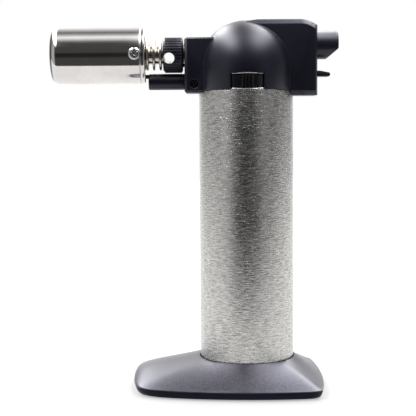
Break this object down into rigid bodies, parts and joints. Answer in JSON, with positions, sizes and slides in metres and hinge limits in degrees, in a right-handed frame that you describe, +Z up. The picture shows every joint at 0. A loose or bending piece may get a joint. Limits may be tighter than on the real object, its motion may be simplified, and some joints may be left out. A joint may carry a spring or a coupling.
{
  "type": "butane micro torch",
  "caption": "Hand-held butane micro torch on a removable stand: round brushed tank, black head with push igniter, chrome burner with finned neck and air collar.",
  "frame": {"origin": "on the surface the stand rests on, under the tank axis", "axes": "+Z up along the tank, burner towards -X, ignition button towards +X, flow window towards -Y"},
  "size_m": [0.1151, 0.0644, 0.148],
  "materials": {
    "stand_shell": "satin",
    "stand_plate": "gloss",
    "pad_rubber": "matte",
    "brushed_tank": "brushed",
    "tank_plastic": "moulded",
    "black_plastic": "satin",
    "gloss_black": "gloss",
    "valve_brass": "turned",
    "white_plastic": "moulded",
    "seal_rubber": "matte",
    "spring_steel": "wire",
    "hose_rubber": "satin",
    "neck_nickel": "turned nickel plate",
    "barrel_chrome": "polished",
    "screw_steel": "plated",
    "black_screw": "black oxide",
    "ceramic_black": "satin sleeve",
    "wire_red": "satin",
    "piezo_blue": "moulded",
    "fork_orange": "moulded"
  },
  "bodies": {
    "stand": {"base_shell": "stand_shell", "base_plate": "stand_plate", "base_pad": "pad_rubber", "base_screws": "screw_steel"},
    "torch": {"tank_sleeve": "brushed_tank", "fuel_tank": "tank_plastic", "tank_bottom_cap": "black_plastic", "dip_tube": "white_plastic", "refill_valve_body": "valve_brass", "refill_seal": "seal_rubber", "refill_spring": "spring_steel", "outlet_valve_body": "valve_brass", "valve_seal": "seal_rubber", "valve_spring": "spring_steel", "gas_hose": "hose_rubber", "gas_jet": "valve_brass", "mixing_tube": "neck_nickel", "burner_barrel": "barrel_chrome", "burner_hub": "barrel_chrome", "burner_screw": "screw_steel", "flame_holder": "valve_brass", "electrode": "screw_steel", "electrode_insulator": "ceramic_black", "ignition_conduit": "gloss_black", "ignition_wire": "wire_red", "piezo_body": "piezo_blue", "piezo_spring": "spring_steel", "lock_pin": "screw_steel", "head_shell_near": "black_plastic", "head_shell_far": "black_plastic", "head_screws": "black_screw"},
    "collar": {"air_collar": "black_plastic"},
    "flow_slider": {"flow_ring": "gloss_black"},
    "outlet_stem": {"valve_stem": "valve_brass"},
    "refill_stem": {"refill_valve_stem": "white_plastic"},
    "button": {"ignition_button": "black_plastic", "push_fork": "fork_orange", "piezo_plunger": "white_plastic"},
    "lever": {"lock_lever": "black_plastic"}
  },
  "joints": [
    {"name": "lift_off", "type": "slide", "parent": "stand", "child": "torch", "axis": [0, 0, 1], "range_m": [0, 0.06]},
    {"name": "button_press", "type": "slide", "parent": "torch", "child": "button", "axis": [-1, 0, 0], "range_m": [0, 0.005], "stiffness_N_per_m": 800, "springref_m": -0.002, "deforming": ["piezo_spring"]},
    {"name": "valve_lift", "type": "slide", "parent": "torch", "child": "outlet_stem", "axis": [0, 0, 1], "range_m": [0, 0.001], "deforming": ["valve_spring"]},
    {"name": "refill_press", "type": "slide", "parent": "torch", "child": "refill_stem", "axis": [0, 0, 1], "range_m": [0, 0.0015], "stiffness_N_per_m": 400, "springref_m": -0.001, "deforming": ["refill_spring"]},
    {"name": "collar_turn", "type": "hinge", "parent": "torch", "child": "collar", "pos_m": [-0.0293, 0, 0.1343], "axis": [1, 0, 0], "range_deg": [0, 60]},
    {"name": "flow_turn", "type": "hinge", "parent": "torch", "child": "flow_slider", "pos_m": [0, 0, 0.1226], "axis": [0, 0, 1], "range_deg": [-12, 12]},
    {"name": "lever_tilt", "type": "hinge", "parent": "torch", "child": "lever", "pos_m": [0.0235, 0, 0.1246], "axis": [0, 1, 0], "range_deg": [0, 12]}
  ],
  "couplings": [
    {"joint": "valve_lift", "follows": "button_press", "ratio": 0.2}
  ]
}
